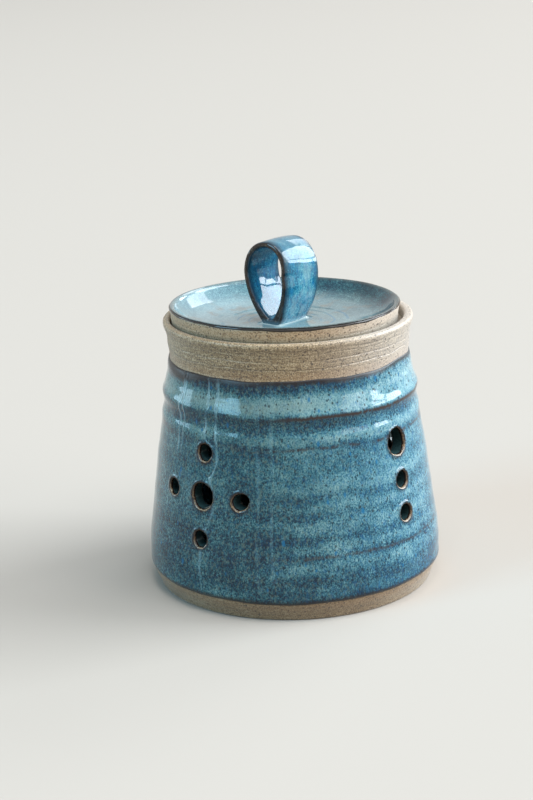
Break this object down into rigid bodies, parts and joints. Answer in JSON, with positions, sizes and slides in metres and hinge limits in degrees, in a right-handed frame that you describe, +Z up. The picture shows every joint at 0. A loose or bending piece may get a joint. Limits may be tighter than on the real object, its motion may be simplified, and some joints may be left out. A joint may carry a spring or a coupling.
{
  "type": "ventilated lidded storage jar",
  "caption": "Tapered stoneware storage jar with vent holes in its wall and a dished lid with a strap loop handle.",
  "frame": {"origin": "centre of the foot, on the surface the jar stands on", "axes": "+Z up, -Y towards one cross of five vents, +X towards one column of three vents"},
  "size_m": [0.119, 0.119, 0.1395],
  "materials": {
    "stoneware": "matte, bare, iron speckled",
    "wall_glaze": "gloss, mottled blue",
    "inner_glaze": "gloss, dark teal",
    "dish_glaze": "gloss, pale blue-grey",
    "handle_glaze": "gloss, mottled blue"
  },
  "bodies": {
    "jar": {"jar_body": "stoneware", "jar_outer_glaze": "wall_glaze", "jar_inner_glaze": "inner_glaze"},
    "lid": {"lid_body": "stoneware", "lid_glaze": "dish_glaze", "loop_handle": "handle_glaze"}
  },
  "joints": [
    {"name": "lid_lift", "type": "slide", "parent": "jar", "child": "lid", "axis": [0, 0, 1], "range_m": [0, 0.1]}
  ]
}
